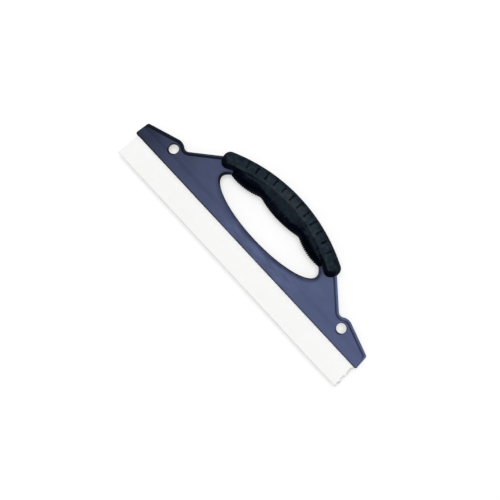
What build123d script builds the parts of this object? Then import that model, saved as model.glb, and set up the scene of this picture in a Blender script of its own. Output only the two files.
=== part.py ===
"""Hand squeegee: a plastic frame with a rubber bow grip and a silicone blade in a keyhole slot.

Millimetres. While it is being drawn, X runs along the blade, Y runs from the mouth of the slot
to the grip, and Z = 0 is the middle plane of the frame, which front and back share. The finished
pieces are moved so that the origin is under the middle of the object lying flat.
"""
import os
from math import acos, atan2, cos, degrees, radians, sin, sqrt, tan

from build123d import *

# Frame outline
frame_length = 306.0
end_lean = 1.4
end_height = 15.4
end_corner_radius = 2.5
mouth_corner_radius = 1.6
hole_spacing = 233.4
hole_height = 16.4
hole_diameter = 10.0
hole_land = 3.2
hole_edge_lean = 45.0
tab_radius = 10.2
valley_radius = 5.2
shoulder_x = 92.8
shoulder_y = 34.6
shoulder_angle = 40.35
arch_foot_radius = 10.0
opening_length = 131.0
opening_depth = 37.8
opening_middle_y = 32.6

# Frame thicknesses: the web is thin above its slope, and on the slope it thickens to meet the rail
rim_thickness = 7.0
web_thickness = 4.0
web_slope_top_y = 14.0
rim_width = 3.65
rim_wall_lean = 50.0
rail_height = 9.3
pocket_corner_radius = 1.0
outer_edge_radius = 1.5
opening_land = 0.4
opening_side_lean = 54.0
opening_lower_lean = 44.0

# Grip, drawn on arcs whose centres lie below the mouth
grip_top_y = 72.7
grip_radius = 173.9
grip_thickness = 22.0
band_middle_width = 14.7
band_inner_radius = 136.4
band_end_angle = 28.15
band_corner_radius = 6.5
band_edge_radius = 3.0
core_cover = 6.4
core_depth = 12.0
core_thickness = 10.0
core_end_angle = 22.0
peg_diameter = 4.0
peg_below_core_top = 9.3
peg_angles = (-12.0, -4.0, 4.0, 12.0)

# Short cross grooves on both faces of the band, near its outer edge
groove_count = 12
groove_pitch_angle = 3.58
groove_middle_angle = 0.4
groove_width = 1.8
groove_depth = 1.0
groove_length = 9.8
groove_from_edge = 1.0

# Finger pad: heights of its swells and hollows above the mouth
pad_thickness = 20.0
pad_edge_radius = 7.0
middle_swell_y = 42.75
hollow_x = 27.0
hollow_y = 46.05
hollow_radius = 6.0
side_swell_x = 54.3
side_swell_y = 40.05
pad_end_x = 61.6
pad_end_y = 40.45

# Blade and the keyhole slot that holds it
slot_end_wall = 3.6
blade_inset = 1.8
blade_end_lean = 1.4
blade_reach = 25.0
blade_thickness = 2.4
tip_thickness = 1.2
bead_diameter = 4.0
bead_y = 5.6
bead_gap = 0.3
neck_gap = 0.2
neck_below_mouth = 0.6
flex_gap = 0.3
end_gap = 0.2

# Places that follow from the driving dimensions
half_length = frame_length / 2
hole_centre = Vector(hole_spacing / 2, hole_height)
grip_centre = Vector(0, grip_top_y - grip_radius)
band_inner_centre = Vector(0, grip_top_y - band_middle_width - band_inner_radius)
core_outer_radius = grip_radius - core_cover
core_inner_radius = core_outer_radius - core_depth
flex_axis_y = -(neck_below_mouth + flex_gap + blade_thickness / 2)
object_middle_y = (grip_top_y - blade_reach) / 2
slot_start_x = slot_end_wall - half_length
blade_start_x = slot_start_x + end_gap
blade_end_x = half_length - blade_inset
cut_clearance = 1.0
level_tolerance = 1e-6


def direction(angle):
    """Unit vector at an angle in degrees from +X."""
    return Vector(cos(radians(angle)), sin(radians(angle)))


def on_grip_circle(radius, lean):
    """Point at a radius from the grip's centre, leaning by an angle from the upright."""
    return grip_centre + direction(90 - lean) * radius


def further_along(start, heading, centre, distance):
    """Point of a line at a distance from a centre, past the place where the line is nearest it."""
    to_centre = centre - start
    nearest = to_centre.dot(heading)
    beside = to_centre.length**2 - nearest**2
    return start + heading * (nearest + sqrt(distance**2 - beside))


def angle_from(centre, point):
    """Angle in degrees from +X of the line from a centre to a point."""
    return degrees(atan2(point.Y - centre.Y, point.X - centre.X))


def both_ways(face, thickness):
    """Solid that has a face for its middle plane."""
    return extrude(face, amount=thickness / 2, both=True)


def at_level(part, level):
    """Edges of a part that lie at a distance above or below the middle plane."""
    return part.edges().filter_by(lambda edge: abs(abs(edge.center().Z) - level) < level_tolerance)


def mirrored_face(half_edges):
    """Face inside a chain of edges on the +X side and its mirror image."""
    half = Curve() + half_edges
    return make_face(half + mirror(half, Plane.YZ))


def frame_outline():
    """Plate outline: straight mouth, leaning ends, round tabs, straight shoulders and the arch."""
    mouth_corner = Vector(half_length, 0)
    end_corner = Vector(half_length - end_lean, end_height)
    shoulder = Vector(shoulder_x, shoulder_y)
    up_shoulder = direction(180 - shoulder_angle)
    off_shoulder = direction(90 - shoulder_angle)

    # The tab's round top is tangent to the line from the end corner
    tangent_turn = degrees(acos(tab_radius / (end_corner - hole_centre).length))
    tab_start = angle_from(hole_centre, end_corner) + tangent_turn

    # The valley curve is tangent to the round top and to the shoulder line
    valley_line = shoulder + off_shoulder * valley_radius
    valley = further_along(valley_line, up_shoulder, hole_centre, tab_radius + valley_radius)
    tab_end = angle_from(hole_centre, valley)
    tab_top = CenterArc(hole_centre, tab_radius, tab_start, tab_end - tab_start)
    valley_turn = (90 - shoulder_angle) - tab_end
    valley_curve = CenterArc(valley, valley_radius, tab_end + 180, valley_turn)

    arch_foot = further_along(shoulder, up_shoulder, grip_centre, core_outer_radius)
    arch_start = angle_from(grip_centre, arch_foot)
    arch = CenterArc(grip_centre, core_outer_radius, arch_start, 90 - arch_start)
    outline = mirrored_face([
        Line((0, 0), mouth_corner),
        Line(mouth_corner, end_corner),
        Line(end_corner, tab_top @ 0),
        tab_top,
        valley_curve,
        Line(valley_curve @ 1, arch @ 0),
        arch,
    ])
    rounded_corners = (
        (mouth_corner, mouth_corner_radius),
        (end_corner, end_corner_radius),
        (arch_foot, arch_foot_radius),
    )
    for corner, radius in rounded_corners:
        for side in (1, -1):
            place = (side * corner.X, corner.Y)
            outline = fillet(outline.vertices().sort_by_distance(place)[0], radius)
    return outline


def opening_ellipse(height):
    """Ellipse of the hand opening at a height above its land, wider at its sides and top than below."""
    sideways = height * tan(radians(opening_side_lean))
    downwards = height * tan(radians(opening_lower_lean))
    ellipse = Ellipse(opening_length / 2 + sideways, (opening_depth + sideways + downwards) / 2)
    return Pos(0, opening_middle_y + (sideways - downwards) / 2, opening_land / 2 + height) * ellipse


def opening_cutter():
    """Cutter for the hand opening: a narrow straight land in the middle, flared to each face."""
    flare = loft([opening_ellipse(0), opening_ellipse(rim_thickness / 2)])
    land = extrude(opening_ellipse(0), amount=-opening_land)
    return land + flare + mirror(flare, Plane.XY)


def hole_cutter():
    """Cutter for a hanging hole: a straight land in the middle, bevelled to each face."""
    radius = hole_diameter / 2
    height = rim_thickness / 2
    wide_radius = radius + height * tan(radians(hole_edge_lean))
    bevel = Pos(0, 0, (hole_land + height) / 2) * Cone(radius, wide_radius, height)
    return Cylinder(radius, hole_land) + bevel + mirror(bevel, Plane.XY)


def pocket_outline(outline):
    """Sunken web: the plate inside its rim and above the rail."""
    rail = Rectangle(frame_length, rail_height, align=(Align.CENTER, Align.MIN))
    inside = offset(outline, -rim_width) - rail
    return offset(offset(inside, -pocket_corner_radius), pocket_corner_radius)


def pocket_cutter(outline):
    """Cutter for the sunken web on the front: leaning rim walls and a floor that rises to the rail."""
    web_level = web_thickness / 2
    depth = rim_thickness / 2 - web_level
    floor = Pos(0, 0, web_level) * pocket_outline(outline)
    pocket = extrude(floor, amount=depth + cut_clearance, taper=-rim_wall_lean)
    rise = depth / (web_slope_top_y - rail_height)
    slope = make_face(Polyline(
        (web_slope_top_y, web_level),
        (0, web_level + rise * web_slope_top_y),
        (0, web_level),
        close=True,
    ))
    return pocket - both_ways(Plane.YZ * slope, frame_length)


def core_face():
    """Thick part of the arch that the rubber is moulded round: a piece of a ring."""
    ring = Pos(grip_centre) * (Circle(core_outer_radius) - Circle(core_inner_radius))
    past_ring = core_outer_radius * 2
    left = on_grip_circle(past_ring, -core_end_angle)
    right = on_grip_circle(past_ring, core_end_angle)
    return ring & make_face(Polyline(grip_centre, right, left, close=True))


def keyhole(bead_radius, neck_width, neck_bottom_y, start_x, end_x):
    """Bar along X with the blade's root section: a round bead with a neck below it."""
    neck_size = bead_y - neck_bottom_y
    neck = Rectangle(neck_size, neck_width, align=(Align.MAX, Align.CENTER))
    section = Pos(bead_y, 0) * (Circle(bead_radius) + neck)
    return extrude(Pos(start_x, 0, 0) * (Plane.YZ * section), amount=end_x - start_x)


def make_frame():
    """Blue moulding: rimmed web, blade rail with its slot, hanging holes and the grip's core."""
    outline = frame_outline()
    frame = both_ways(outline, rim_thickness)
    frame = fillet(at_level(frame, rim_thickness / 2), outer_edge_radius)
    pocket = pocket_cutter(outline)
    frame -= pocket
    frame -= mirror(pocket, Plane.XY)
    frame -= opening_cutter()
    frame += both_ways(core_face(), core_thickness)
    for angle in peg_angles:
        peg_place = on_grip_circle(core_outer_radius - peg_below_core_top, angle)
        frame -= Pos(peg_place) * Cylinder(peg_diameter / 2, grip_thickness)
    for side in (1, -1):
        frame -= Pos(side * hole_centre.X, hole_centre.Y) * hole_cutter()
    frame -= keyhole(
        bead_diameter / 2 + bead_gap,
        blade_thickness + 2 * neck_gap,
        -cut_clearance,
        slot_start_x,
        half_length + cut_clearance,
    )
    return frame


def band_blank():
    """Palm band before it is fitted over the frame: a curved bar with rounded ends and edges."""
    end = direction(90 - band_end_angle)
    outer_end = grip_centre + end * grip_radius
    inner_end = further_along(grip_centre, end, band_inner_centre, band_inner_radius)
    outer = CenterArc(grip_centre, grip_radius, 90 - band_end_angle, band_end_angle)
    inner_start = angle_from(band_inner_centre, inner_end)
    inner = CenterArc(band_inner_centre, band_inner_radius, inner_start, 90 - inner_start)
    face = mirrored_face([outer, Line(outer_end, inner_end), inner])
    corners = face.vertices().filter_by(lambda corner: abs(corner.X) > pad_end_x)
    face = fillet(corners, band_corner_radius)
    blank = both_ways(face, grip_thickness)
    return fillet(at_level(blank, grip_thickness / 2), band_edge_radius)


def band_grooves(lean):
    """Cutters for one pair of cross grooves, on the front and back faces, at a lean from the upright."""
    middle = on_grip_circle(grip_radius - groove_from_edge - groove_length / 2, lean)
    slot = Pos(middle) * Rot(0, 0, 90 - lean) * SlotOverall(groove_length, groove_width)
    bottom = grip_thickness / 2 - groove_depth
    front = extrude(Pos(0, 0, bottom) * slot, amount=groove_depth + cut_clearance)
    return front, mirror(front, Plane.XY)


def make_palm_band(frame):
    """Black rubber saddle over the outside of the arch."""
    band = band_blank() - frame
    first = groove_middle_angle - (groove_count - 1) / 2 * groove_pitch_angle
    for index in range(groove_count):
        for groove in band_grooves(first + index * groove_pitch_angle):
            band -= groove
    return band


def make_finger_pad(frame):
    """Black rubber under the arch: three finger swells, and pegs through the core."""
    end = Vector(pad_end_x, pad_end_y)
    hollow = Vector(hollow_x, hollow_y)
    hollow_mirrored = Vector(-hollow_x, hollow_y)
    end_heading = (end - grip_centre).normalized()
    top_end = grip_centre + end_heading * core_outer_radius
    middle_swell = ThreePointArc(hollow_mirrored, (0, middle_swell_y), hollow)
    side_swell = ThreePointArc(hollow, (side_swell_x, side_swell_y), end)
    top = ThreePointArc(top_end, on_grip_circle(core_outer_radius, 0), (-top_end.X, top_end.Y))
    right = [side_swell, Line(end, top_end)]
    left = [mirror(edge, Plane.YZ) for edge in right]
    face = make_face([middle_swell, *right, top, *left])
    for place in (hollow, hollow_mirrored):
        face = fillet(face.vertices().sort_by_distance(place)[0], hollow_radius)
    blank = both_ways(face, pad_thickness)
    face_edges = at_level(blank, pad_thickness / 2)
    low_edges = face_edges.filter_by(lambda edge: edge.center().Y < hollow_y)
    swell_edges = low_edges.filter_by(lambda edge: abs(edge.center().X) < pad_end_x)
    return fillet(swell_edges, pad_edge_radius) - band_blank() - frame


def make_blade_root():
    """Bead and neck of the silicone blade, which stay in the slot."""
    return keyhole(bead_diameter / 2, blade_thickness, -neck_below_mouth, blade_start_x, blade_end_x)


def make_blade_lip():
    """Tapered wiping lip with leaning ends, round on top about the line where the blade bends."""
    root_half = blade_thickness / 2
    tip_half = tip_thickness / 2
    taper = make_face(Polyline(
        (flex_axis_y, root_half),
        (-blade_reach, tip_half),
        (-blade_reach, -tip_half),
        (flex_axis_y, -root_half),
        close=True,
    ))
    section = taper + Pos(flex_axis_y, 0) * Circle(root_half)
    strip_start = blade_start_x - blade_end_lean
    strip_end = blade_end_x + blade_end_lean
    strip = extrude(Pos(strip_start, 0, 0) * (Plane.YZ * section), amount=strip_end - strip_start)
    plan = make_face(Polyline(
        (blade_start_x, 0),
        (strip_start, -blade_reach),
        (strip_end, -blade_reach),
        (blade_end_x, 0),
        close=True,
    ))
    return strip & both_ways(plan, blade_thickness + cut_clearance)


def main():
    frame = make_frame()
    pieces = {
        "frame": frame,
        "palm_band": make_palm_band(frame),
        "finger_pad": make_finger_pad(frame),
        "blade_root": make_blade_root(),
        "blade_lip": make_blade_lip(),
    }
    lying_flat = Pos(0, -object_middle_y, grip_thickness / 2)
    os.makedirs("parts", exist_ok=True)
    for name, piece in pieces.items():
        placed = lying_flat * piece
        solids = placed.solids()
        print(name, "solids", len(solids), "volume", round(placed.volume, 1))
        export_step(placed, f"parts/{name}.step")


main()
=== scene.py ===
# %% [markdown]
# # A hand squeegee with a silicone blade
#
# A water blade for car windows and shower walls: a flat navy frame with a hand opening, a black
# rubber grip round the arch of that opening, and a soft white blade along the lower edge.
#
# The construction model comes first. It brings the real sizes, the bodies that move and the joints.
# The frame moulding keeps its construction mesh. The rubber and the silicone are soft, so they are
# drawn here again, in the space that their solids hold.

import bpy
import numpy as np
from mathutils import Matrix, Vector


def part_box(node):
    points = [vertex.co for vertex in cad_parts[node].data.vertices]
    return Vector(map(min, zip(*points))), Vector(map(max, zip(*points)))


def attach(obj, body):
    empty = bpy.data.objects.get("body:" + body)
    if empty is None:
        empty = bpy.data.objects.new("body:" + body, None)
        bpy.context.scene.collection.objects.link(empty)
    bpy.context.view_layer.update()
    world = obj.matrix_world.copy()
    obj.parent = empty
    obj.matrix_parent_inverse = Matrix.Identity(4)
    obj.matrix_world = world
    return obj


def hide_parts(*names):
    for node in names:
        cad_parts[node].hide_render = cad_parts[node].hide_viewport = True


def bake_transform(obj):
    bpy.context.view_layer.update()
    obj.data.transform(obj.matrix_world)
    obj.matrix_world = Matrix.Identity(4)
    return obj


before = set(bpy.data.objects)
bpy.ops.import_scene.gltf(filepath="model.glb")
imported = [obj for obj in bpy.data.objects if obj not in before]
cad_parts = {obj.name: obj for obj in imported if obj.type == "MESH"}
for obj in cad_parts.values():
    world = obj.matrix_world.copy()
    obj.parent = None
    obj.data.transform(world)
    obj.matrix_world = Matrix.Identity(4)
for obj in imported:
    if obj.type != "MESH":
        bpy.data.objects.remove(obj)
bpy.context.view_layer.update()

# %% [markdown]
# ## Where things are
#
# The model stands with its middle plane half a grip above the floor, and the long axis of the blade
# is X. Drawings of such a tool measure from the mouth of the blade slot, towards the grip, so the
# pieces below are worked out in millimetres from that mouth and the middle plane. One function then
# moves whole arrays of points into the model's metres.

# %% From the drawing to the model
millimetre = 0.001
mouth_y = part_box("frame")[0][1]
middle_z = 0.5 * (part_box("palm_band")[0][2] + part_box("palm_band")[1][2])


def to_model(across, up, out):
    """Points in metres from distances in mm: along the blade, up from the slot, off the middle plane."""
    across, up, out = np.broadcast_arrays(across, up, out)
    points = [across * millimetre, mouth_y + up * millimetre, middle_z + out * millimetre]
    return np.stack(points, axis=-1)


print("slot mouth at y", round(mouth_y, 4), "middle plane at z", round(middle_z, 4))

# %% [markdown]
# ## Camera
#
# The tool lies on a table and is seen almost from straight above, turned by about half a right angle.
# A camera could be aimed with a constraint. Here its place is worked out from an azimuth, an elevation
# and a distance round one target point, because those are the values that one reads off a picture.

# %% Camera
camera_azimuth = np.radians(47.277)
camera_elevation = np.radians(82.277)
camera_distance = 0.853
camera_target = Vector((0.0046, -0.02005, 0.011))
camera_lens = 65

flat_share = np.cos(camera_elevation)
towards_camera = Vector((
    np.sin(camera_azimuth) * flat_share,
    -np.cos(camera_azimuth) * flat_share,
    np.sin(camera_elevation),
))


def aim(item, place, target):
    """Stands a lamp or camera at a place, with its -Z axis on the target and its Y axis up."""
    item.location = place
    item.rotation_mode = "QUATERNION"
    item.rotation_quaternion = (target - place).to_track_quat("-Z", "Y")
    bpy.context.scene.collection.objects.link(item)


camera = bpy.data.objects.new("camera", bpy.data.cameras.new("camera"))
camera.data.lens = camera_lens
aim(camera, camera_target + towards_camera * camera_distance, camera_target)
bpy.context.scene.camera = camera
bpy.context.scene.view_settings.view_transform = "Standard"
print("camera at", [round(v, 3) for v in camera.location])

# %% [markdown]
# ## Nodes
#
# Every finish below is a small tree of shader nodes. Building one by hand takes many clicks, and
# in code many lines. A helper makes one node with its settings, its values and its incoming links,
# and four short ones do sums with what nodes give, so that a finish reads as a short list.


# %% Helpers for shader nodes
def put(tree, kind, values=None, links=None, **settings):
    """A new node of this kind, with settings, socket values and the outputs that feed its sockets."""
    node = tree.nodes.new(kind)
    for name, value in settings.items():
        setattr(node, name, value)
    for socket, value in (values or {}).items():
        node.inputs[socket].default_value = value
    for socket, source in (links or {}).items():
        tree.links.new(source, node.inputs[socket])
    return node


def sums(tree, operation, first, second=0.0):
    """The output of a Math node on two inputs, each a number or another node's output."""
    node = put(tree, "ShaderNodeMath", operation=operation)
    for socket, source in enumerate((first, second)):
        if isinstance(source, (int, float)):
            node.inputs[socket].default_value = source
        else:
            tree.links.new(source, node.inputs[socket])
    return node.outputs[0]


def plus(tree, first, second):
    """The first and the second added up."""
    return sums(tree, "ADD", first, second)


def minus(tree, first, second):
    """The first less the second."""
    return sums(tree, "SUBTRACT", first, second)


def times(tree, first, second):
    """The first multiplied by the second."""
    return sums(tree, "MULTIPLY", first, second)


def unsigned(tree, source):
    """The source without its sign."""
    return sums(tree, "ABSOLUTE", source)


print("sums with nodes ready")


# %% Helpers for ranges and patterns
def ranged(tree, source, low, high, to_low=0.0, to_high=1.0):
    """The source taken smoothly from the range low to high into the range to_low to to_high."""
    node = put(tree, "ShaderNodeMapRange", {1: low, 2: high, 3: to_low, 4: to_high}, {0: source},
               interpolation_type="SMOOTHSTEP")
    return node.outputs[0]


def noise(tree, place, scale, detail, roughness=0.5, stretch=(1, 1, 1)):
    """Noise of this many spots a metre at a place, drawn out where a stretch is under 1."""
    mapped = put(tree, "ShaderNodeMapping", {"Scale": stretch}, {"Vector": place})
    node = put(tree, "ShaderNodeTexNoise", {"Scale": scale, "Detail": detail, "Roughness": roughness},
               {"Vector": mapped.outputs[0]})
    return node.outputs[0]


def seen(tree):
    """1 for the rays that only look: those of the camera, of reflections and through clear materials."""
    rays = put(tree, "ShaderNodeLightPath").outputs
    reflected = sums(tree, "MAXIMUM", rays["Is Camera Ray"], rays["Is Glossy Ray"])
    return sums(tree, "MAXIMUM", reflected, rays["Is Transmission Ray"])


print("ranges and patterns ready")

# %% [markdown]
# ## Table and light
#
# The tool lies on a white table under broad soft light. A white picture is easy to get by
# turning the lamps up, but then the pale blade burns out and the dark rubber turns grey. So the lamps
# stay at the level at which a colour renders as it is written, and the table is lifted to white
# only for the rays that look at it. The tool's soft shadow stays on it. The table is very large, so
# that from a low angle its far edge lies near the horizon.

# %% Table
table_half_width = 40.0
table_grey = 0.56
table_lift = 0.47

table_mesh = bpy.data.meshes.new("table")
table_corners = table_half_width * np.array([(-1, -1, 0), (1, -1, 0), (1, 1, 0), (-1, 1, 0)])
table_mesh.from_pydata(table_corners.tolist(), [], [(0, 1, 2, 3)])
table = bpy.data.objects.new("table", table_mesh)
bpy.context.scene.collection.objects.link(table)

table_finish = bpy.data.materials.new("table_white")
table_finish.use_nodes = True
tree = table_finish.node_tree
tree.nodes.clear()
glow = put(tree, "ShaderNodeEmission", links={"Strength": times(tree, seen(tree), table_lift)})
matt = put(tree, "ShaderNodeBsdfDiffuse", {"Color": (table_grey, table_grey, table_grey, 1)})
both = put(tree, "ShaderNodeAddShader", links={0: glow.outputs[0], 1: matt.outputs[0]})
put(tree, "ShaderNodeOutputMaterial", links={"Surface": both.outputs[0]})
table_mesh.materials.append(table_finish)
print("table", 2 * table_half_width, "m wide")

# %% [markdown]
# One broad softbox hangs high over the table, in a room whose ceiling is pale and which is dim at eye
# level. A white room all round would be simpler, but then the edges of the moulding, which face
# sideways, would be as bright as its flat faces. Under the softbox they fall off to dark, and that
# draws the outlines of the frame and the grip. As with the table, the rays that only look see a pale
# backdrop instead of the dim room.

# %% Room and lamp
horizon_level = 0.10
ceiling_level = 0.50
ceiling_slope = 0.6
backdrop_level = 0.90
softbox_power = 260.0
softbox_width = 3.5
softbox_place = Vector((0.10, 0.14, 6.49))

room = bpy.data.worlds.new("dim_room")
room.use_nodes = True
tree = room.node_tree
direction = put(tree, "ShaderNodeTexCoord").outputs["Generated"]
slope = put(tree, "ShaderNodeSeparateXYZ", links={0: direction}).outputs["Z"]
light_level = ranged(tree, slope, 0.0, ceiling_slope, horizon_level, ceiling_level)
seen_level = times(tree, seen(tree), backdrop_level)
background = tree.nodes["Background"]
tree.links.new(sums(tree, "MAXIMUM", light_level, seen_level), background.inputs["Strength"])
background.inputs["Color"].default_value = (1, 1, 1, 1)
bpy.context.scene.world = room

softbox = bpy.data.objects.new("softbox", bpy.data.lights.new("softbox", "AREA"))
softbox.data.energy = softbox_power
softbox.data.size = softbox_width
aim(softbox, softbox_place, camera_target)
print("softbox", softbox_power, "W,", softbox_width, "m wide")

# %% [markdown]
# ## Finishes
#
# All the finishes of the tool are made in one way. Patterns and masks are added up to a single tone, a
# colour ramp turns that tone into a colour, and a fine noise roughens the surface. A painted image
# would do too, but it needs a map of the surface, while these patterns are worked out from where a
# point is, in metres, and from which way its surface looks.


# %% Parts of a finish
def finish_tree(name, specular):
    """A new material with this specular level, its node tree, its shader and its object coordinates."""
    material = bpy.data.materials.new(name)
    material.use_nodes = True
    nodes = material.node_tree
    shader = nodes.nodes["Principled BSDF"]
    shader.inputs["Specular IOR Level"].default_value = specular
    place = put(nodes, "ShaderNodeTexCoord").outputs["Object"]
    return material, nodes, shader, place


def tones(tree, shader, amount, stops):
    """Colours the shader from a ramp of (position, linear colour) stops, read at an amount."""
    ramp = put(tree, "ShaderNodeValToRGB", links={0: amount})
    elements = ramp.color_ramp.elements
    for element, (position, colour) in zip((elements[0], elements[1]), (stops[0], stops[-1])):
        element.position = position
        element.color = (*colour, 1)
    for position, colour in stops[1:-1]:
        elements.new(position).color = (*colour, 1)
    tree.links.new(ramp.outputs[0], shader.inputs["Base Color"])


def roughen(tree, shader, height, depth):
    """Bumps the shader by a height pattern of this depth in metres."""
    bump = put(tree, "ShaderNodeBump", {"Strength": 1.0, "Distance": depth}, {"Height": height})
    tree.links.new(bump.outputs[0], shader.inputs["Normal"])


def looking(tree, axis):
    """How far a surface looks along an axis: that part of its normal, from -1 to 1."""
    normal = put(tree, "ShaderNodeTexCoord").outputs["Normal"]
    return put(tree, "ShaderNodeSeparateXYZ", links={0: normal}).outputs[axis]


def facing(tree):
    """How far a surface looks up or down, and not sideways: the size of its normal's Z."""
    return unsigned(tree, looking(tree, "Z"))


print("parts of a finish ready")

# %% [markdown]
# The frame is a satin navy moulding. Close up, such plastic is not one colour: it has slow clouds of
# tone from the melt and faint drag marks along its length. Painted shade makes it darker towards its
# left end, and painted light a little paler at its right end. Its edges and walls, which look sideways,
# get painted shade, so that they fall off to dark against the flat faces. In the middle of its length,
# under the opening, pale streaks stand for flow marks and for a painted sheen. Which is which could be
# painted as a mask, but the surface normal already says it: a face looks up or down, and an edge looks
# sideways.
#
# The raised rim gets painted shade at the left and painted light at the right, and its outer edges at
# the right end get a painted highlight. A border of painted shade runs round the opening, and except
# at its left end most of the painted shade of that edge is taken off again. Such a border needs the
# distance to the opening, which is nearly an ellipse.

# %% Distance to the opening
opening_half_length = 0.0655
opening_half_depth = 0.0189
opening_up = 0.0326
opening_centre = (0.0, mouth_y + opening_up, 0.0)


def from_opening(tree, place):
    """Distance in metres outside the ellipse of the hand opening.

    With q the length of (x/a, y/b) and g that of (x/a², y/b²), it is close to (q - 1) q / g.
    """
    offset = put(tree, "ShaderNodeVectorMath", {1: opening_centre}, {0: place}, operation="SUBTRACT")
    lengths = []
    for power in (1, 2):
        scale = (opening_half_length**-power, opening_half_depth**-power, 0.0)
        scaled = put(tree, "ShaderNodeVectorMath", {1: scale}, {0: offset.outputs[0]},
                     operation="MULTIPLY")
        length = put(tree, "ShaderNodeVectorMath", links={0: scaled.outputs[0]}, operation="LENGTH")
        lengths.append(length.outputs["Value"])
    q, g = lengths
    return sums(tree, "DIVIDE", times(tree, minus(tree, q, 1.0), q), g)


print("opening", 2 * opening_half_length, "by", 2 * opening_half_depth, "m")

# %% Values of the navy plastic
# A range has two limits, then the values that hold before and after them, or else 0 and 1.
navy_specular = 0.06
navy_tones = [
    (0.05, (0.006, 0.009, 0.018)),
    (0.30, (0.0355, 0.0445, 0.087)),
    (0.62, (0.0700, 0.0860, 0.168)),
    (0.88, (0.0945, 0.1185, 0.230)),
]
cloud_scale = 22
cloud_share = 0.30
drag_scale = 900
drag_stretch = (0.03, 1, 1)
drag_share = 0.06
drag_gloss = (0.3, 0.7, 0.50, 0.62)
# Painted shade darkens the left end, and painted light makes the right end a little paler.
left_end_shade = (-0.155, -0.035, -0.01, 0.42)
right_end_light = (0.05, 0.10, 0.0, 0.08)
flow_scale = 200
flow_stretch = (0.3, 1, 1)
flow_marks = (0.35, 0.7)
# Pale flow streaks, strongest in the middle of the length, where they also stand for a painted sheen.
flow_and_sheen_middle = 0.015
flow_and_sheen_tone = (0.02, 0.07, 0.26, 0.04)
rim_level = (0.0026, 0.0032)
rim_above_rail = (mouth_y + 0.010, mouth_y + 0.013)
# Painted shade on the rim at the left, painted light on it at the right.
rim_shade_and_light = (-0.13, 0.10, 0.27, -0.20)
# A border of painted shade round the opening.
border_reach = (0.0020, 0.0052, 1.0, 0.0)
border_shade_drop = (-0.03, 0.05, 0.20, 0.40)
# Painted shade on edges and walls, which look sideways.
edge_wall_shade_drop = (0.80, 0.95, 0.45, 0.0)
# Near the opening, except at its left end, most of that painted edge shade is taken off again.
unshaded_reach = (0.003, 0.004, 1.0, 0.0)
unshaded_share = (-0.066, -0.058, 0.0, 0.90)
# A painted highlight on the outer edges at the right end that look along X.
highlight_side = (0.1, 0.5)
highlight_along = (0.03, 0.10, 0.0, 0.5)
highlight_level = (0.0018, 0.0026)
navy_grain_scale = 2600
navy_grain_depth = 0.00003
print("navy plastic in", len(navy_tones), "tones")


# %% Navy plastic
def navy_plastic():
    """Satin navy: clouds, drags and flow marks, with the tones of the rim, the border and the edges."""
    material, tree, shader, place = finish_tree("navy_plastic", navy_specular)
    along, up, height = put(tree, "ShaderNodeSeparateXYZ", links={0: place}).outputs
    off_middle = unsigned(tree, minus(tree, height, middle_z))
    from_flow_and_sheen_middle = unsigned(tree, minus(tree, along, flow_and_sheen_middle))
    edge_distance = from_opening(tree, place)

    clouds = noise(tree, place, cloud_scale, detail=2.0)
    drags = noise(tree, place, drag_scale, detail=2.0, stretch=drag_stretch)
    flow = noise(tree, place, flow_scale, detail=3.0, stretch=flow_stretch)
    tone = plus(tree, times(tree, clouds, cloud_share), times(tree, drags, drag_share))
    # Painted shade at the left end and painted light at the right end.
    tone = plus(tree, tone, ranged(tree, along, *left_end_shade))
    tone = plus(tree, tone, ranged(tree, along, *right_end_light))
    # Flow streaks and painted sheen, strongest in the middle of the length.
    flow_and_sheen_zone = ranged(tree, from_flow_and_sheen_middle, *flow_and_sheen_tone)
    tone = plus(tree, tone, times(tree, ranged(tree, flow, *flow_marks), flow_and_sheen_zone))

    # Painted shade on the rim at the left and painted light on it at the right.
    rim = times(tree, ranged(tree, off_middle, *rim_level), ranged(tree, up, *rim_above_rail))
    tone = minus(tree, tone, times(tree, rim, ranged(tree, along, *rim_shade_and_light)))
    # A border of painted shade round the opening.
    border = ranged(tree, edge_distance, *border_reach)
    tone = minus(tree, tone, times(tree, border, ranged(tree, along, *border_shade_drop)))
    # Near the opening, except at its left end, the painted edge shade is mostly taken off.
    unshaded_edge = times(tree, ranged(tree, edge_distance, *unshaded_reach), ranged(tree, along, *unshaded_share))
    # Painted shade on edges and walls that look sideways.
    edge_wall_shade = ranged(tree, facing(tree), *edge_wall_shade_drop)
    tone = minus(tree, tone, times(tree, edge_wall_shade, minus(tree, 1.0, unshaded_edge)))
    # Painted highlight on the outer edges at the right end that look along X.
    wear_and_highlight = times(tree, ranged(tree, looking(tree, "X"), *highlight_side), ranged(tree, along, *highlight_along))
    tone = plus(tree, tone, times(tree, wear_and_highlight, ranged(tree, off_middle, *highlight_level)))

    tones(tree, shader, tone, navy_tones)
    tree.links.new(ranged(tree, drags, *drag_gloss), shader.inputs["Roughness"])
    roughen(tree, shader, noise(tree, place, navy_grain_scale, detail=2.0), navy_grain_depth)
    return material


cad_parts["frame"].material_slots[0].material = navy_plastic()
print("frame finished in navy plastic")

# %% [markdown]
# Both rubbers are blue-black compounds with a moulded stipple. Their faces are charcoal, matt and
# scuffed, and a painted sheen makes them paler in the middle, so that they are darker towards the
# ends. Rounded edges, the sides, the bottoms of the grooves, the dips between the finger ribs and the
# inner sides near the ends get painted shade, down to near black. The sides show in the surface
# normal. The grooves could be found by the shader from the curvature, but the formula that cuts them
# knows their depth, so each mesh below carries that painted shade as an attribute: 0 on the surface,
# 1 at the bottom of a groove, and more on parts of the finger pad's swells that get painted shade.

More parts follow.
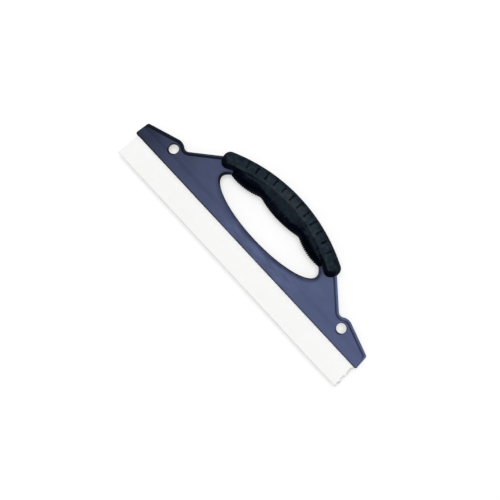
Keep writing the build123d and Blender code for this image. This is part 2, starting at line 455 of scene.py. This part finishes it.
# %% Values of the rubbers
# The black that the painted shade reaches at its deepest.
new_rubber = (0.0001, 0.0007, 0.0036)
deep_shares = (0.45, 0.45, 0.54)
smudge_scale = 60
smudge_share = 0.7
smudge_gloss = (0.3, 0.7, 0.54, 0.72)
stipple_share = 0.3
scuff_scale = 265
scuff_tone = (0.35, 0.70, -0.12, 0.16)
# A painted sheen: paler in the middle, darker beyond the reach.
sheen_core_share = 0.25
shaded_part_drop = 0.22
# Painted shade on rounded edges, side walls, and what looks towards the opening near the ends.
flat_facing = 0.99
side_drop = (0.35, 0.75, 0.35, 0.0)
inside_drop = (-0.45, -0.10, 0.35, 0.0)
# Painted shade read from the mesh attribute: in grooves and between ribs.
painted_shade_drop = 0.25
print("new rubber", new_rubber)


# %% Black rubbers
def moulded_rubber(name, dark, wear_and_highlight, sheen_reach, edge_facing, edge_drops, grain, specular):
    """Matt rubber with a stipple: grain gives its spots a metre and its depth.

    A painted sheen makes it paler in the middle, and it is darker beyond a reach in metres. Rounded
    edges get painted shade once they look up by less than edge_facing: by the first of edge_drops in the
    middle and by the second beyond the reach. Side walls get a black painted shade, and so does what
    looks towards the opening near the ends.
    """
    grain_scale, grain_depth = grain
    material, tree, shader, place = finish_tree(name, specular)
    smudges = noise(tree, place, smudge_scale, detail=4.0, roughness=0.6)
    stipple = noise(tree, place, grain_scale, detail=2.0)
    scuffs = noise(tree, place, scuff_scale, detail=3.0, roughness=0.6)
    tone = plus(tree, times(tree, smudges, smudge_share), times(tree, stipple, stipple_share))
    tone = plus(tree, tone, ranged(tree, scuffs, *scuff_tone))

    along = put(tree, "ShaderNodeSeparateXYZ", links={0: place}).outputs["X"]
    # Painted sheen: the tone drops away from the middle.
    shaded_part = ranged(tree, unsigned(tree, along), sheen_core_share * sheen_reach, sheen_reach)
    tone = minus(tree, tone, times(tree, shaded_part, shaded_part_drop))
    # Painted shade on rounded edges, on side walls and, near the ends, on what looks towards the
    # opening.
    edge = ranged(tree, facing(tree), edge_facing, flat_facing, 1.0, 0.0)
    tone = minus(tree, tone, times(tree, edge, ranged(tree, shaded_part, 0.0, 1.0, *edge_drops)))
    tone = minus(tree, tone, ranged(tree, facing(tree), *side_drop))
    inside = ranged(tree, looking(tree, "Y"), *inside_drop)
    tone = minus(tree, tone, times(tree, inside, shaded_part))
    # Painted shade from the mesh attribute: in grooves, between ribs, and on parts of the pad's swells.
    painted_shade = put(tree, "ShaderNodeAttribute", attribute_name="painted_shade").outputs["Fac"]
    tone = minus(tree, tone, times(tree, painted_shade, painted_shade_drop))

    deep = np.multiply(dark, deep_shares).tolist()
    tones(tree, shader, tone, [(0.0, new_rubber), (0.08, deep), (0.35, dark), (0.7, wear_and_highlight)])
    tree.links.new(ranged(tree, smudges, *smudge_gloss), shader.inputs["Roughness"])
    roughen(tree, shader, stipple, grain_depth)
    return material


palm_rubber = moulded_rubber(
    "palm_charcoal",
    dark=(0.0133, 0.0228, 0.0312),
    wear_and_highlight=(0.0316, 0.0372, 0.0456),
    sheen_reach=0.05,
    edge_facing=0.90,
    edge_drops=(0.25, 0.08),
    grain=(1500, 0.00008),
    specular=0.035,
)
finger_rubber = moulded_rubber(
    "finger_black",
    dark=(0.0088, 0.0149, 0.0218),
    wear_and_highlight=(0.0138, 0.0216, 0.0299),
    sheen_reach=0.075,
    edge_facing=0.80,
    edge_drops=(0.4, 0.4),
    grain=(1900, 0.00006),
    specular=0.02,
)
print("rubbers:", palm_rubber.name, finger_rubber.name)

# %% [markdown]
# Silicone is milky: light enters it, spreads for a few millimetres and comes out again, so its edges
# look soft and its thin lip glows a little. The shader's subsurface part does that. The surface is an
# extrusion, with very faint lines along its length. Where it was cut by hand to its length, its end
# face is painted a rough grey as painted shade, and a lighter painted shade runs along the wiping
# edge. The mesh below marks both with the same attribute.

# %% Milky silicone
silicone_specular = 0.15
silicone_tones = [
    (0.0, (0.600, 0.600, 0.600)),
    (0.3, (0.863, 0.863, 0.856)),
    (0.7, (0.902, 0.902, 0.897)),
]
scatter_weight = 0.35
scatter_radius = (1.0, 1.0, 0.95)
scatter_scale = 0.002
haze_scale = 35
haze_share = 0.6
haze_gloss = (0.3, 0.7, 0.32, 0.45)
line_scale = 1600
line_stretch = (0.004, 1, 1)
line_share = 0.4
line_depth = 0.00002
chatter_scale = 420
# Painted shade on the hand-cut end, made rough by the chatter noise.
cut_shade_drop = (0.35, 0.6, 0.2, 0.5)


def milky_silicone():
    """White silicone that scatters light for some millimetres, with faint extrusion lines along X."""
    material, tree, shader, place = finish_tree("milky_silicone", silicone_specular)
    shader.inputs["Subsurface Weight"].default_value = scatter_weight
    shader.inputs["Subsurface Radius"].default_value = scatter_radius
    shader.inputs["Subsurface Scale"].default_value = scatter_scale
    haze = noise(tree, place, haze_scale, detail=3.0)
    lines = noise(tree, place, line_scale, detail=1.0, stretch=line_stretch)
    chatter = noise(tree, place, chatter_scale, detail=2.0)
    # The mesh attribute: painted shade on the cut end and along the wiping edge.
    cut = put(tree, "ShaderNodeAttribute", attribute_name="painted_shade").outputs["Fac"]
    tone = plus(tree, times(tree, haze, haze_share), times(tree, lines, line_share))
    tone = minus(tree, tone, times(tree, cut, ranged(tree, chatter, *cut_shade_drop)))
    tones(tree, shader, tone, silicone_tones)
    tree.links.new(ranged(tree, haze, *haze_gloss), shader.inputs["Roughness"])
    roughen(tree, shader, lines, line_depth)
    return material


silicone = milky_silicone()
print("silicone:", silicone.name)

# %% [markdown]
# ## From a grid of points to a mesh
#
# All the soft pieces are rings of points carried along a path: row after row of closed rings. Two
# neighbouring rings give a band of four-sided faces, and that is the same sum for every row, so
# numpy does it for the whole grid at once. A tapered end closes on one point, with a fan of triangles.


# %% Faces between rings
def ring_faces(rows, columns):
    """Quads between neighbouring rings: point j of ring i, the next one, and the same two of ring i + 1.

    The rings run clockwise, seen from the first ring towards the last, so these quads face outwards.
    """
    i, j = np.meshgrid(np.arange(rows - 1), np.arange(columns), indexing="ij")
    ring = i * columns
    next_ring = ring + columns
    following = (j + 1) % columns
    corners = [ring + j, ring + following, next_ring + following, next_ring + j]
    return np.stack(corners, axis=-1).reshape(-1, 4)


def fan_faces(ring_start, columns, pole, at_start):
    """Triangles from each edge of a ring to one pole point, wound the other way on the first ring."""
    j = np.arange(columns)
    first, second = ring_start + j, ring_start + (j + 1) % columns
    if at_start:
        first, second = second, first
    return np.stack([first, second, np.full(columns, pole)], axis=-1)


print("a tube of 3 rings of 8 points has", len(ring_faces(3, 8)), "quads")

# %% Rings to mesh
rubber_sharp_angle = np.radians(50)


def soft_piece(name, points, faces, painted_shade, material, sharp_angle):
    """A smooth-shaded object at the origin from points and faces, with edges kept sharp above an angle.

    The painted shade of each point goes with the mesh as an attribute.
    """
    mesh = bpy.data.meshes.new(name)
    mesh.from_pydata(points.tolist(), [], faces)
    mesh.polygons.foreach_set("use_smooth", np.ones(len(mesh.polygons), dtype=bool))
    mesh.set_sharp_from_angle(angle=sharp_angle)
    mesh.materials.append(material)
    mesh.attributes.new("painted_shade", "FLOAT", "POINT").data.foreach_set("value", painted_shade.astype(np.float32))
    mesh.validate()
    piece = bpy.data.objects.new(name, mesh)
    bpy.context.scene.collection.objects.link(piece)
    print(name, len(mesh.vertices), "points,", len(mesh.polygons), "faces")
    return piece


def closed_rings(name, rings, painted_shade, poles, material):
    """A closed piece from rings of shape (rows, columns, 3), whose two ends close on two pole points."""
    rows, columns = rings.shape[:2]
    count = rows * columns
    points = np.concatenate([rings.reshape(-1, 3), np.asarray(poles)])
    painted_shade = np.append(painted_shade.ravel(), np.zeros(len(poles)))
    faces = ring_faces(rows, columns).tolist()
    faces += fan_faces(0, columns, count, at_start=True).tolist()
    faces += fan_faces(count - columns, columns, count + 1, at_start=False).tolist()
    return soft_piece(name, points, faces, painted_shade, material, rubber_sharp_angle)


print("rubber edges stay sharp above", round(np.degrees(rubber_sharp_angle)), "degrees")

# %% [markdown]
# ## Palm band
#
# The palm band is a rubber saddle round the outside of the arch: a rounded box in section, carried
# along an arc. Its outer side follows the grip circle, and its inner side a smaller circle with
# another centre, so the band is narrow in the middle and wider at its ends. It could be a curve with
# a bevel profile, but a bevel can't change its width that way, nor take the row of short cross grooves.
# As a grid, with the angle along the arc as one parameter and the way round the section as the other,
# all of that is one formula. The band sits a little to one side on its arch, and its tips, which no
# finger pad meets, are rounder inside.

# %% The grip's two circles
grip_centre_up = -101.2
grip_outer_radius = 173.9
inner_circle_up = -78.4
inner_circle_radius = 136.4
grip_half_thickness = 11.0


def inner_radius(angle):
    """Distance from the grip centre to the inner circle at an angle: the far root of its equation."""
    offset = inner_circle_up - grip_centre_up
    return offset * np.cos(angle) + np.sqrt(inner_circle_radius**2 - (offset * np.sin(angle))**2)


def on_grip(radius, angle, out):
    """Model points at a radius and an angle from the grip's centre line, off the middle plane by out."""
    return to_model(radius * np.sin(angle), grip_centre_up + radius * np.cos(angle), out)


print("band is", round(grip_outer_radius - inner_radius(0.0), 2), "mm wide in the middle")

# %% Rounded sections and ends
loop_half_width = 7.0
loop_samples = 4001


def even_loop(half_height, upper_power, lower_power, count):
    """Unit points of a superellipse |u|^p + |v|^p = 1, evenly spaced round a loop of a usual size.

    The upper power holds for u above 0 and the lower one for u below 0: a high power is a box with
    rounded corners, 2 is an ellipse.
    """
    turn = np.linspace(0, 2 * np.pi, loop_samples)
    power = np.where(np.cos(turn) >= 0, upper_power, lower_power)
    u = np.sign(np.cos(turn)) * np.abs(np.cos(turn))**(2 / power)
    v = np.sign(np.sin(turn)) * np.abs(np.sin(turn))**(2 / power)
    steps = np.hypot(np.diff(u * loop_half_width), np.diff(v * half_height))
    travelled = np.concatenate([[0], np.cumsum(steps)])
    stations = np.linspace(0, travelled[-1], count, endpoint=False)
    return np.interp(stations, travelled, u), np.interp(stations, travelled, v)


def outward_slope(u, v, half_width, half_height, upper_power, lower_power):
    """Unit normal of the superellipse loop: the slope of |u|^p + |v|^p in each direction."""
    power = np.where(u >= 0, upper_power, lower_power)
    slope_u = np.sign(u) * np.abs(u)**(power - 1) / half_width
    slope_v = np.sign(v) * np.abs(v)**(power - 1) / half_height
    length = np.hypot(slope_u, slope_v)
    return slope_u / length, slope_v / length


def rounded_end(from_end, power):
    """Share of the full size near an end: (1 - (1 - d)^n)^(1/n), with d the way from the end."""
    return (1 - np.clip(1 - from_end, 0, 1)**power)**(1 / power)


def smooth(amount):
    """A smooth step: 0 below 0, 1 above 1, and 3t² - 2t³ between."""
    t = np.clip(amount, 0, 1)
    return t * t * (3 - 2 * t)


def rise(amount, start, length):
    """A smooth step from 0 to 1 that begins at a start and takes this length."""
    return smooth((amount - start) / length)


print("halfway along a round end:", round(float(rounded_end(0.5, 2.0)), 3), "of the full size")

# %% Rows of the palm band
band_rows = 115
band_end_angle = np.radians(28.15)
band_end_length = 8.0
band_end_rows = 16
groove_count = 12
groove_pitch = np.radians(3.58)
groove_middle = np.radians(0.64)
groove_half_width = 0.9
groove_rows = 17
groove_rows_reach = 1.5
angle_digits = 7


def band_angles():
    """Angles of the band's rings as a column, closer at grooves and ends, and angles of the grooves.

    Towards an end the steps follow 1 - cos, so that the rings get closer as the band gets rounder.
    Rounding lets rows that fall on each other become one.
    """
    grooves = groove_middle + groove_pitch * (np.arange(groove_count) - 0.5 * (groove_count - 1))
    across_groove = np.linspace(-groove_rows_reach, groove_rows_reach, groove_rows)
    notch = across_groove * groove_half_width / grip_outer_radius
    end_turn = np.linspace(0, np.pi / 2, band_end_rows)[1:]
    end_steps = band_end_length * (1 - np.cos(end_turn)) / grip_outer_radius
    angles = np.concatenate([
        np.linspace(-1, 1, band_rows) * (band_end_angle - end_steps[-1]),
        (grooves[:, None] + notch).ravel(),
        band_end_angle - end_steps,
        end_steps - band_end_angle,
    ])
    return np.unique(angles.round(angle_digits))[:, None], grooves


print("palm band of", len(band_angles()[0]), "rings")

# %% Palm band
band_columns = 180
band_sideways = -0.7
band_end_power = 2.0
band_tip_drop = 0.9
band_outer_power = 2.3
band_inner_power = 8.0
band_tip_inner_power = 4.5
rounder_from = np.radians(19)
rounder_over = np.radians(5)
groove_depth = 1.0
groove_length = 9.8
groove_from_edge = 0.9
groove_floor = 0.35
groove_wall = 0.9
groove_edge_share = 0.45
groove_fade = 6.5
band_offset = np.array([band_sideways * millimetre, 0, 0])


def palm_band_rings():
    """Rings of the palm band, and how deep each point lies in a groove, from 0 to 1.

    The section is a rounded box between the two circles, rounder inside where no pad meets it. Towards
    each end it shrinks, and its middle drops a little, so that the outer corner is the rounder one.
    Each groove is a short slot on both faces: it is let in where the distance to the slot's centre line,
    across the arc and past its ends, is under half its width. Towards the outer edge it gets shallower.
    """
    angles, grooves = band_angles()
    half_width = 0.5 * (grip_outer_radius - inner_radius(angles))
    boxy = even_loop(grip_half_thickness, band_outer_power, band_inner_power, band_columns)
    rounder = even_loop(grip_half_thickness, band_outer_power, band_tip_inner_power, band_columns)
    near_tip = rise(np.abs(angles), rounder_from, rounder_over)
    u, v = [near + near_tip * (far - near) for near, far in zip(boxy, rounder)]
    from_end = (band_end_angle - np.abs(angles)) * grip_outer_radius / band_end_length
    size = rounded_end(from_end, band_end_power)

    across = np.min(np.abs(angles - grooves), axis=1, keepdims=True) * grip_outer_radius
    straight_half = 0.5 * groove_length - groove_half_width
    slot_middle = groove_from_edge + 0.5 * groove_length
    from_edge = (1 - u) * half_width
    past_straight = np.maximum(np.abs(from_edge - slot_middle) - straight_half, 0)
    from_slot = np.hypot(across, past_straight) / groove_half_width
    full_depth = groove_edge_share + (1 - groove_edge_share) * smooth(from_edge / groove_fade)
    # The same share sets the groove's depth and its painted shade.
    painted_shade = (1 - rise(from_slot, groove_floor, groove_wall)) * full_depth
    let_in = groove_depth * painted_shade
    slope_u, slope_v = outward_slope(
        u, v, half_width, grip_half_thickness, band_outer_power, band_inner_power)

    middle = grip_outer_radius - half_width - band_tip_drop * (1 - size)
    radius = middle + size * half_width * u - let_in * slope_u
    out = size * grip_half_thickness * v - let_in * slope_v
    return on_grip(radius, angles, out) + band_offset, painted_shade


band_middle = 0.5 * (grip_outer_radius + inner_radius(band_end_angle)) - band_tip_drop
palm_band = closed_rings(
    "palm_band_skin",
    *palm_band_rings(),
    [on_grip(band_middle, side * band_end_angle, 0.0) + band_offset for side in (-1, 1)],
    palm_rubber,
)
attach(palm_band, "handle")
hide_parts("palm_band")

# %% [markdown]
# ## Finger pad
#
# Under the arch sits a softer, darker moulding for the fingers. It swells three times: a deep swell
# in the middle and a shallower one at each side, of which the left one sits a little lower. Seen flat,
# each swell is the lower side of a circle, and the pad's edge is the lowest of three such circles, with
# the two hollows between them softened.
#
# On each swell fine ribs run across the pad for hold. They fade in the hollows and over the right part
# of the middle swell, and at the left they are lower. They could be drawn by a bump in the finish, but
# they show in the outline. As a cosine along the arc, they are one more formula on the same kind of grid
# as the band's.

# %% Edge of the finger pad
middle_swell_up = 153.75
middle_swell_radius = 111.0
side_swell_across = 54.3
side_swell_up = 106.05
side_swell_radius = 66.0
left_swell_drop = 0.8
hollow_softness = 0.6


def lower_side(angle, across, up, radius):
    """Distance from the grip centre to the near side of a circle, along a ray at an angle."""
    along = across * np.sin(angle) + (up - grip_centre_up) * np.cos(angle)
    beside = across * np.cos(angle) - (up - grip_centre_up) * np.sin(angle)
    return along - np.sqrt(np.maximum(radius**2 - beside**2, 0))


def finger_pad_edge(angle):
    """Radius of the pad's lower edge: a soft minimum of three circles, -s log(sum of exp(-r/s))."""
    circles = [
        lower_side(angle, 0.0, middle_swell_up, middle_swell_radius),
        lower_side(angle, side_swell_across, side_swell_up, side_swell_radius),
        lower_side(angle, -side_swell_across, side_swell_up - left_swell_drop, side_swell_radius),
    ]
    return -hollow_softness * np.logaddexp.reduce([-radius / hollow_softness for radius in circles])


print("pad is", round(float(inner_radius(0.0) - finger_pad_edge(0.0)), 2), "mm deep in the middle")

# %% Ribs of the finger pad
# A pair is a fade: where it starts along the arc and how long it is, in mm.
# A top or a low is a place u in the section, from -1 at the pad's edge to 1 inside the band.
rib_pitch = 2.25
rib_height = 0.3
rib_sharpness = 1.3
side_rib_height = 1.2
side_rib_sink = 0.3
left_rib_share = 0.5
rib_top = 0.82
rib_top_fade = 0.2
middle_ribs_end = (17.0, 7.0)
middle_ribs_right = (-2.0, 8.0)
middle_ribs_faded = 0.7
side_ribs_start = (29.0, 5.0)
side_ribs_end = (58.0, 5.0)
side_rib_low = 0.25
side_rib_low_fade = 0.5
side_rib_top_share = 0.25
# Painted shade on the right part of the middle swell and on the left swell, low on the pad.
shade_right_start = (10.0, 8.0)
shade_right_end = (27.0, 5.0)
shade_left_start = (26.0, 6.0)
shade_top = 0.6
shade_top_fade = 0.4


def finger_ribs(arc, u):
    """How far the ribs stand out in mm, and the recess, at a way along the arc and a u of the section.

    The ribs are a cosine, raised to a power that makes their tops narrower. The painted shade is the
    depth below their tops as a share of their height, a half where there are none, and more on the right
    part of the middle swell and on the left swell, low on the pad, which get painted shade too.
    """
    from_middle = np.abs(arc)
    ribs = (0.5 + 0.5 * np.cos(2 * np.pi * arc / rib_pitch))**rib_sharpness
    below_top = smooth((rib_top - u) / rib_top_fade)
    faded_right = 1 - middle_ribs_faded * rise(arc, *middle_ribs_right)
    on_middle = (1 - rise(from_middle, *middle_ribs_end)) * below_top * faded_right
    on_side = rise(from_middle, *side_ribs_start) * (1 - rise(from_middle, *side_ribs_end))
    low_down = smooth((side_rib_low - u) / side_rib_low_fade)
    on_side = on_side * (side_rib_top_share * below_top + (1 - side_rib_top_share) * low_down)
    side_height = side_rib_height * np.where(arc < 0, left_rib_share, 1.0)
    lift = rib_height * on_middle * ribs + side_height * on_side * (ribs - side_rib_sink)

    # Painted shade on the right part of the middle swell and on the left swell, low on the pad.
    right_of_middle = rise(arc, *shade_right_start) * (1 - rise(arc, *shade_right_end))
    left_swell = rise(-arc, *shade_left_start)
    shaded_part = (right_of_middle + left_swell) * smooth((shade_top - u) / shade_top_fade)
    # Painted shade: darker between the ribs, paler on their tops, and the shaded parts of the swells.
    return lift, 0.5 + (1 - 2 * ribs) * (on_middle + on_side) + shaded_part


print("middle rib stands out", round(float(finger_ribs(0.0, -1.0)[0]), 3), "mm")

# %% Finger pad
pad_rows = 560
pad_columns = 96
pad_end_angle = np.radians(23.2)
pad_end_length = 15.0
pad_end_power = 2.2
pad_half_thickness = 10.35
pad_into_band = 3.0
pad_upper_power = 8.0
pad_lower_power = 1.75


def finger_pad_rings():
    """Rings of the finger pad: boxy inside the band, round below it, with ribs on the swells.

    Towards each end the thickness shrinks as the band's size does, so that the pad runs out under
    the band.
    """
    angles = np.linspace(-1, 1, pad_rows)[1:-1, None] * pad_end_angle
    inner = inner_radius(angles)
    from_end = (pad_end_angle - np.abs(angles)) * inner / pad_end_length
    half_thickness = pad_half_thickness * rounded_end(from_end, pad_end_power)
    depth = np.maximum(inner - finger_pad_edge(angles), 0)
    half_depth = 0.5 * (depth + pad_into_band)
    middle = inner + pad_into_band - half_depth
    u, v = even_loop(pad_half_thickness, pad_upper_power, pad_lower_power, pad_columns)

    lift, painted_shade = finger_ribs(angles * inner_radius(0.0), u)
    slope_u, slope_v = outward_slope(u, v, half_depth, half_thickness, pad_upper_power, pad_lower_power)
    radius = middle + half_depth * u + lift * slope_u
    out = half_thickness * v + lift * slope_v
    return on_grip(radius, angles, out), painted_shade


pad_top = inner_radius(pad_end_angle) + 0.5 * pad_into_band
finger_pad = closed_rings(
    "finger_pad_skin",
    *finger_pad_rings(),
    [on_grip(pad_top, side * pad_end_angle, 0.0) for side in (-1, 1)],
    finger_rubber,
)
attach(finger_pad, "handle")
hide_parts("finger_pad")

# %% [markdown]
# ## Blade
#
# The blade is one length of silicone extrusion: a round bead that is threaded into the slot, a neck
# that leaves it, and a lip that thins towards the wiping edge. The construction model cuts it in two
# at the line where it bends. Here it is one piece again. Its section is carried along X in many steps,
# so that the lip can have the slight waviness of soft stock, and it has many rows from neck to edge,
# because the lip bends smoothly there when the blade is pressed on the glass. A curve with a bevel
# would carry the section too, but it would have neither the waves nor the hand-cut end.

# %% Blade section
bead_up = 5.6
bead_radius = 2.0
bead_points = 14
neck_half = 1.2
lip_reach = 25.0
lip_points = 44
edge_half = 0.6
edge_bevel = 0.6
edge_bevel_share = 0.25


def blade_side():
    """Half of the blade's section, from the top of the bead to the edge, as distances up and out.

    The bead is an arc that ends where it meets the neck. Below the slot the half thickness falls in a
    straight line to the edge, and the last bit is bevelled to a quarter of that.
    """
    join = np.pi - np.arcsin(neck_half / bead_radius)
    turn = np.linspace(0, join, bead_points)
    neck_top = bead_up + bead_radius * np.cos(join)
    down = np.linspace(neck_top, -lip_reach + edge_bevel, lip_points + 1)[1:]
    half = neck_half + (edge_half - neck_half) * np.clip(-down / lip_reach, 0, 1)
    up = np.concatenate([bead_up + bead_radius * np.cos(turn), down, [-lip_reach, -lip_reach]])
    out = np.concatenate([bead_radius * np.sin(turn), half, [edge_bevel_share * edge_half, 0.0]])
    return up, out


section_up, section_out = blade_side()
print("blade section has", 2 * len(section_up) - 2, "points")

# %% Blade along its length
# A wave has its turns along the whole blade, and the part of a turn that it starts at.
# A wander has its radians for each mm of the section, and the angle that it starts at.
blade_start = -149.2
blade_end = 151.2
blade_end_lean = 1.4
blade_stations = 161
wave_height = 0.22
slow_wave = (2.3, 0.1)
quick_wave = (5.6, 0.4)
quick_wave_share = 0.5
cut_width = 1.8
cut_bevel = 0.9
cut_bevel_share = 0.3
cut_clearance = 0.4
cut_wander = 0.35
slow_wander = (0.55, 0.0)
quick_wander = (1.3, 1.0)
quick_wander_share = 0.6
wander_top = 1 + quick_wander_share
wander_start = (0.94, 0.06)
wander_below = 4.0
blade_length = blade_end - blade_start


def blade_points(share, up, out):
    """Points of the section at shares of the blade's length, with waves and one hand-cut end.

    A slow and a quick sine wave grow towards the edge. Both ends lean outwards towards the edge. The cut
    end wanders with two more sines, taken back by their top, so that it never grows longer.
    """
    waves = [np.sin(2 * np.pi * (turns * share + start)) for turns, start in (slow_wave, quick_wave)]
    wave = waves[0] + quick_wave_share * waves[1]
    wanders = [np.sin(rate * up + start) for rate, start in (slow_wander, quick_wander)]
    wander = wanders[0] + quick_wander_share * wanders[1]
    near_cut = rise(share, *wander_start)
    lean = blade_end_lean * np.clip(-up / lip_reach, 0, 1)
    along = blade_start - lean + share * (blade_length + 2 * lean)
    along = along + cut_wander * (wander - wander_top) * near_cut * smooth(-up / wander_below)
    bevelled = np.where(share == 1, cut_bevel_share, 1.0) * out
    return to_model(along, up, bevelled + wave_height * wave * smooth(-up / lip_reach)).reshape(-1, 3)


print("blade is", round(blade_length, 1), "mm long")

# %% Blade
blade_sharp_angle = np.radians(35)
# Painted shade along the wiping edge.
wiping_edge_shade = 0.35
cut_tolerance = 1.01


def blade_mesh():
    """Points, faces and recess of the blade: its section carried along X, with both ends closed.

    The second half of the section mirrors the first across the middle plane, so each end closes with
    quads between a point and its mirror image. Where a point is its own image, they become triangles.
    """
    up = np.concatenate([section_up, section_up[-2:0:-1]])
    out = np.concatenate([section_out, -section_out[-2:0:-1]])
    columns = len(up)
    cut_stations = np.array([cut_width, cut_bevel, 0])
    plain_end = 1 - (cut_width + cut_clearance) / blade_length
    share = np.linspace(0, plain_end, blade_stations - len(cut_stations))
    share = np.append(share, 1 - cut_stations / blade_length)[:, None]

    near = np.arange(len(section_up) - 1)
    mirror = (-near) % columns
    mirror_next = (-near - 1) % columns
    cap = np.stack([near, near + 1, mirror_next, mirror], axis=-1)
    last = (blade_stations - 1) * columns
    faces = ring_faces(blade_stations, columns).tolist()
    for quads in (cap[:, ::-1], cap + last):
        faces += [list(dict.fromkeys(quad)) for quad in quads.tolist()]

    # The hand-cut end gets full painted shade, and the wiping edge a lighter one.
    at_cut = (1 - share) * blade_length < cut_tolerance * cut_width
    at_edge = wiping_edge_shade * (up < -lip_reach + 0.5 * edge_bevel)
    return blade_points(share, up, out), faces, np.maximum(at_cut, at_edge).ravel()


blade = soft_piece("blade_extrusion", *blade_mesh(), silicone, blade_sharp_angle)
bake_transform(blade)
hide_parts("blade_root", "blade_lip")
